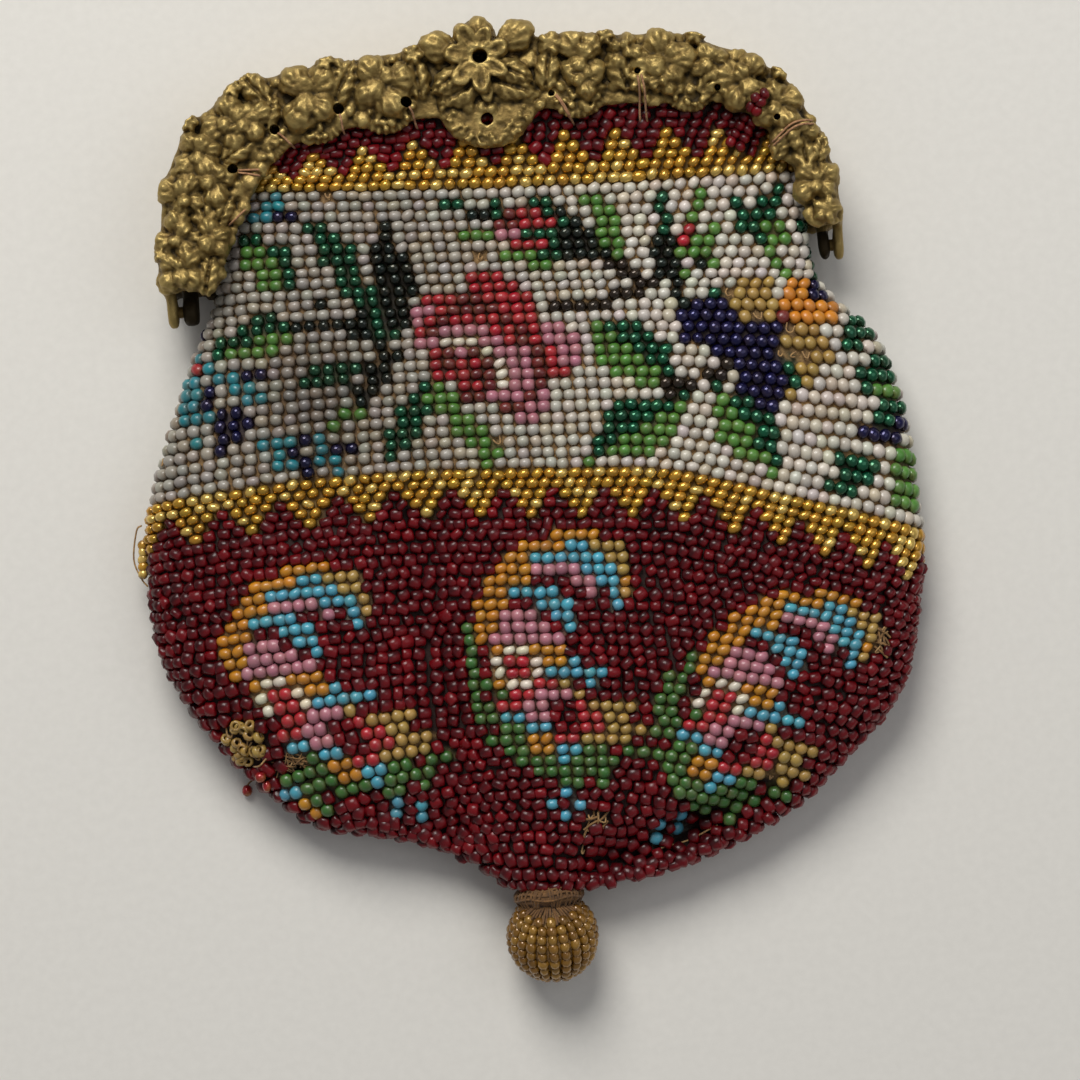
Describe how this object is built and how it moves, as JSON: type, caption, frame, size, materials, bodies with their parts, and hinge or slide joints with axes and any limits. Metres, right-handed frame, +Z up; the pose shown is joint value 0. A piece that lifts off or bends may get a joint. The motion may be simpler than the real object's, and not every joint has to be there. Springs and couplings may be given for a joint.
{
  "type": "beaded coin purse",
  "caption": "Small knitted bead purse lying flat, with a cast floral metal frame that closes on a thumb knob, a soft hollow pouch with pattern bands, and a bead-covered ball drop at its point.",
  "frame": {"origin": "middle of the bounding box in X and Y, on the surface the purse lies on", "axes": "+X to the right as seen from above with the metal frame at the far end, +Y from the ball drop towards the metal frame, +Z up away from the surface"},
  "size_m": [0.0938, 0.1165, 0.0133],
  "materials": {
    "beadwork": "glossy glass seed beads knitted on tan thread",
    "gilt_brass": "cast relief, worn gilding on the high places and dark tarnish in the hollows",
    "thread": "matt tan thread"
  },
  "bodies": {
    "root": {"pouch": "beadwork", "front_bow": "gilt_brass", "back_bow": "gilt_brass", "left_hinge_pin": "gilt_brass", "right_hinge_pin": "gilt_brass", "clasp_knob": "gilt_brass", "drop_collar": "thread", "drop_ball": "beadwork"}
  },
  "joints": []
}
